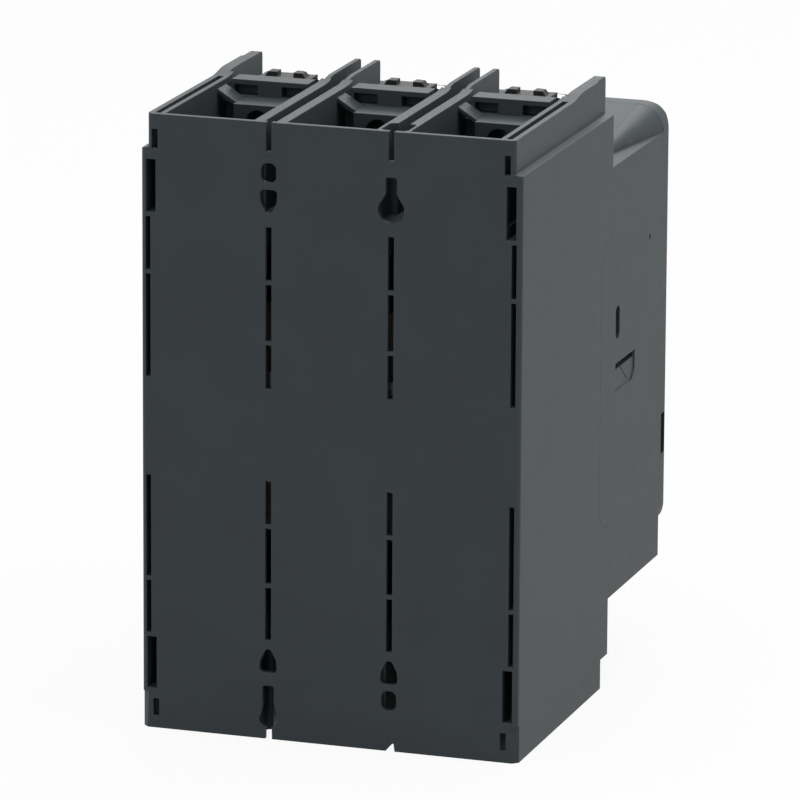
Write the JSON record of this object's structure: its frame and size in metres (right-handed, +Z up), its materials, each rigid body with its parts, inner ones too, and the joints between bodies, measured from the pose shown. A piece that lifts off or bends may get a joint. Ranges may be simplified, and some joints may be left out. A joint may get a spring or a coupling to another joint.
{
  "type": "contactor",
  "caption": "Three-pole power contactor with bolted terminals, moulded case with double walls and keyholes, magnet, sliding carrier and arc chutes.",
  "frame": {"origin": "middle of the mounting face at the back", "axes": "+Y out of the mounting face towards the plate it is fixed to, +Z up, +X to the right seen from the front"},
  "size_m": [0.14, 0.18, 0.225],
  "materials": {
    "case": "satin",
    "inner_plastic": "matte",
    "tinned_copper": "satin",
    "contact_silver": "satin",
    "zinc_plate": "satin",
    "spring_steel": "satin",
    "core_steel": "satin",
    "bobbin_plastic": "matte",
    "copper": "satin",
    "chute_board": "matte",
    "plate_steel": "satin",
    "indicator_white": "matte"
  },
  "bodies": {
    "base": {"rear_housing": "case", "arc_housing": "case", "front_cover": "case", "contact_frame": "inner_plastic", "upper_bar_1": "tinned_copper", "upper_bar_2": "tinned_copper", "upper_bar_3": "tinned_copper", "lower_bar_1": "tinned_copper", "lower_bar_2": "tinned_copper", "lower_bar_3": "tinned_copper", "fixed_tips": "contact_silver", "nut_cages": "inner_plastic", "terminal_nuts": "zinc_plate", "terminal_bolts": "zinc_plate", "flat_washers": "zinc_plate", "spring_washers": "spring_steel", "magnet_core": "core_steel", "coil_bobbin": "bobbin_plastic", "coil_winding": "copper", "damper_pads": "inner_plastic", "return_springs": "spring_steel", "arc_frames": "chute_board", "upper_arc_plates": "plate_steel", "lower_arc_plates": "plate_steel", "housing_screws": "zinc_plate", "cover_screws": "zinc_plate", "coil_terminal_block": "inner_plastic", "coil_clamps": "zinc_plate", "coil_screws": "zinc_plate"},
    "carrier": {"carrier": "bobbin_plastic", "armature": "core_steel", "armature_rivets": "zinc_plate", "indicator": "indicator_white", "contact_spring_1": "spring_steel", "contact_spring_2": "spring_steel", "contact_spring_3": "spring_steel"},
    "bridge_1": {"moving_contact_1": "copper", "moving_tips_1": "contact_silver"},
    "bridge_2": {"moving_contact_2": "copper", "moving_tips_2": "contact_silver"},
    "bridge_3": {"moving_contact_3": "copper", "moving_tips_3": "contact_silver"}
  },
  "joints": [
    {"name": "carrier_slide", "type": "slide", "parent": "base", "child": "carrier", "axis": [0, 1, 0], "range_m": [0, 0.009], "stiffness_N_per_m": 3000, "springref_m": -0.008, "deforming": ["return_springs"]},
    {"name": "bridge_1_slide", "type": "slide", "parent": "carrier", "child": "bridge_1", "axis": [0, -1, 0], "range_m": [0, 0.002], "deforming": ["contact_spring_1"]},
    {"name": "bridge_2_slide", "type": "slide", "parent": "carrier", "child": "bridge_2", "axis": [0, -1, 0], "range_m": [0, 0.002], "deforming": ["contact_spring_2"]},
    {"name": "bridge_3_slide", "type": "slide", "parent": "carrier", "child": "bridge_3", "axis": [0, -1, 0], "range_m": [0, 0.002], "deforming": ["contact_spring_3"]}
  ],
  "couplings": [
    {"joint": "bridge_1_slide", "follows": "carrier_slide", "ratio": 0.2222},
    {"joint": "bridge_2_slide", "follows": "carrier_slide", "ratio": 0.2222},
    {"joint": "bridge_3_slide", "follows": "carrier_slide", "ratio": 0.2222}
  ]
}
